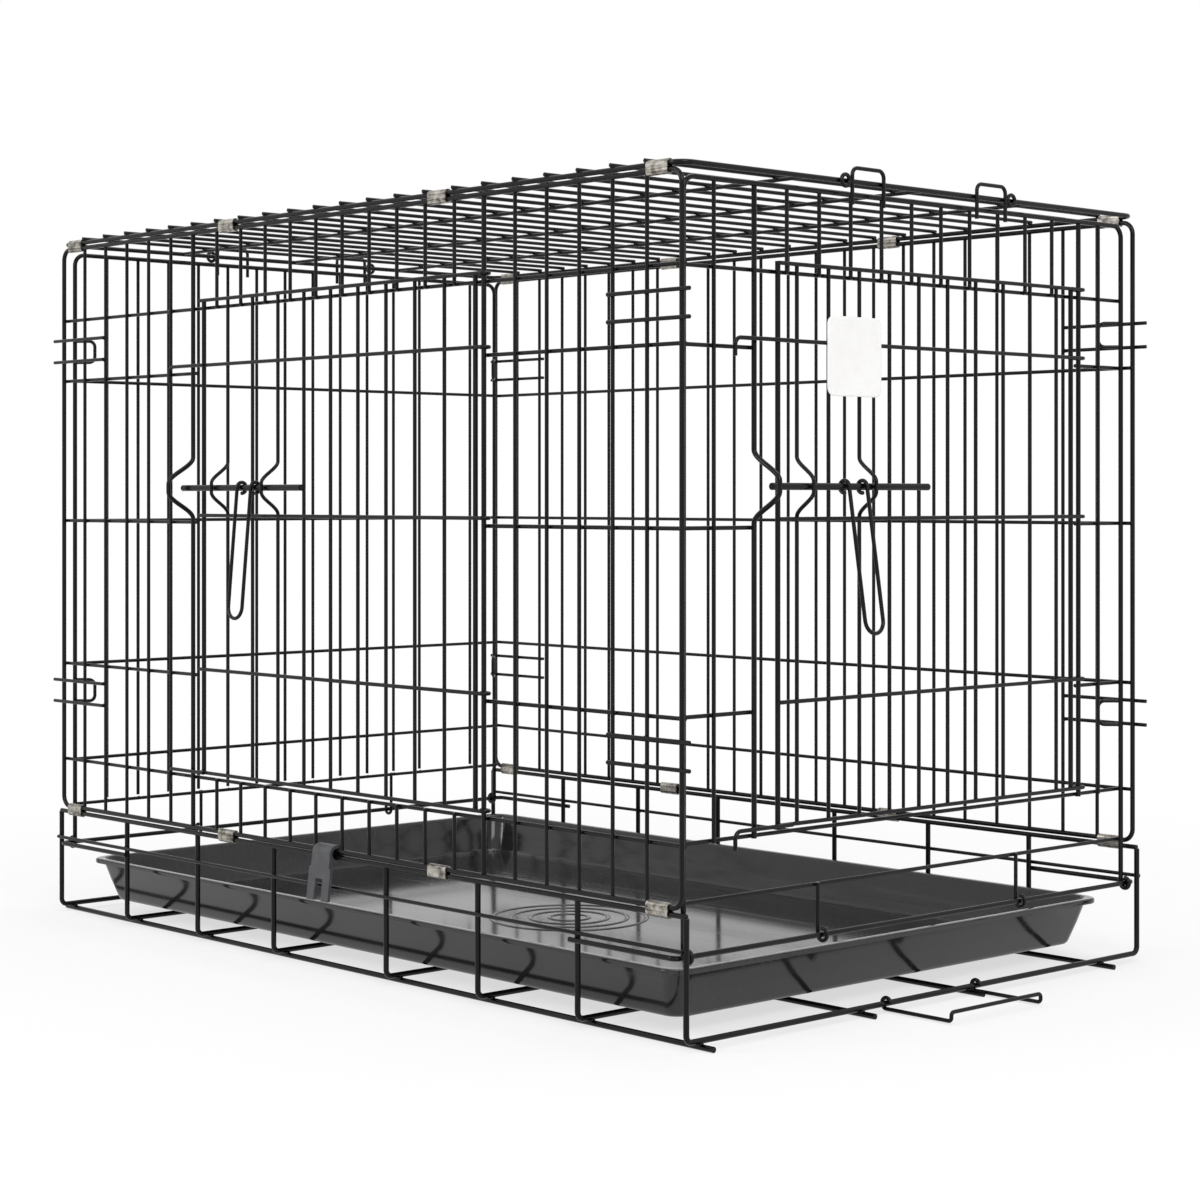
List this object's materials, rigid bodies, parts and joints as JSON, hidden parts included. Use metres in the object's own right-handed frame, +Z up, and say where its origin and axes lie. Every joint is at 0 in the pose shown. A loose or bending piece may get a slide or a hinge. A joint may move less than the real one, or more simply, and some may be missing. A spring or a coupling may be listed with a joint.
{
  "type": "folding_wire_pet_crate",
  "caption": "Folding black wire pet crate with a front door, a side door, sliding bolts, a slide-out plastic tray and ends that fold inward",
  "frame": {"origin": "on the floor under the middle of the crate", "axes": "+X out of the front door end, -Y out of the side door, +Z up"},
  "size_m": [0.8266, 0.5114, 0.5758],
  "materials": {
    "black_wire": "semi-gloss",
    "zinc_sheet": "satin",
    "tray_plastic": "gloss",
    "strap_plastic": "matte",
    "blank_plate": "matte"
  },
  "bodies": {
    "crate": {"base_cross_wires": "black_wire", "base_floor_wires": "black_wire", "base_side_wires": "black_wire", "front_cross_bar": "black_wire", "rear_cross_bar": "black_wire", "near_side_panel": "black_wire", "side_door_keeper": "black_wire", "far_side_panel": "black_wire", "near_side_catch_wires": "black_wire", "far_side_catch_wires": "black_wire", "top_panel": "black_wire", "top_front_hooks": "black_wire", "top_rear_hooks": "black_wire", "near_top_clips": "zinc_sheet", "near_bottom_clips": "zinc_sheet", "far_top_clips": "zinc_sheet", "far_bottom_clips": "zinc_sheet"},
    "front_end": {"front_end_panel": "black_wire", "front_door_keeper": "black_wire", "front_corner_catches": "black_wire"},
    "rear_end": {"rear_end_panel": "black_wire", "rear_corner_catches": "black_wire"},
    "front_door": {"front_door": "black_wire", "front_bolt_guides": "black_wire", "front_door_hooks": "black_wire", "name_plate": "blank_plate"},
    "side_door": {"side_door": "black_wire", "side_bolt_guides": "black_wire", "side_door_hooks": "black_wire"},
    "front_bolt": {"front_bolt_rod": "black_wire"},
    "front_handle": {"front_bolt_handle": "black_wire"},
    "side_bolt": {"side_bolt_rod": "black_wire"},
    "side_handle": {"side_bolt_handle": "black_wire"},
    "tray": {"tray": "tray_plastic"},
    "gate": {"tray_gate": "black_wire"},
    "strap": {"carry_strap": "strap_plastic"}
  },
  "joints": [
    {"name": "front_end_fold", "type": "hinge", "parent": "crate", "child": "front_end", "pos_m": [0.372, 0, 0.059], "axis": [0, 1, 0], "range_deg": [-87, 0]},
    {"name": "rear_end_fold", "type": "hinge", "parent": "crate", "child": "rear_end", "pos_m": [-0.372, 0, 0.059], "axis": [0, 1, 0], "range_deg": [0, 87]},
    {"name": "front_door_hinge", "type": "hinge", "parent": "front_end", "child": "front_door", "pos_m": [0.3683, 0.18, 0.32], "axis": [0, 0, 1], "range_deg": [0, 150]},
    {"name": "side_door_hinge", "type": "hinge", "parent": "crate", "child": "side_door", "pos_m": [0.17896, -0.2398, 0.32], "axis": [0, 0, 1], "range_deg": [0, 160]},
    {"name": "front_bolt_slide", "type": "slide", "parent": "front_door", "child": "front_bolt", "axis": [0, 1, 0], "range_m": [-0.028, 0]},
    {"name": "front_handle_turn", "type": "hinge", "parent": "front_bolt", "child": "front_handle", "pos_m": [0.3803, -0.08, 0.359], "axis": [0, -1, 0], "range_deg": [0, 80]},
    {"name": "side_bolt_slide", "type": "slide", "parent": "side_door", "child": "side_bolt", "axis": [1, 0, 0], "range_m": [-0.028, 0]},
    {"name": "side_handle_turn", "type": "hinge", "parent": "side_bolt", "child": "side_handle", "pos_m": [-0.1, -0.2518, 0.359], "axis": [-1, 0, 0], "range_deg": [0, 80]},
    {"name": "tray_slide", "type": "slide", "parent": "crate", "child": "tray", "axis": [1, 0, 0], "range_m": [0, 0.7]},
    {"name": "gate_turn", "type": "hinge", "parent": "crate", "child": "gate", "pos_m": [0.378, 0, 0.00592], "axis": [0, 1, 0], "range_deg": [-96.3, 0]},
    {"name": "strap_swing", "type": "hinge", "parent": "crate", "child": "strap", "pos_m": [0, -0.2398, 0.0882], "axis": [-1, 0, 0], "range_deg": [0, 100]}
  ]
}
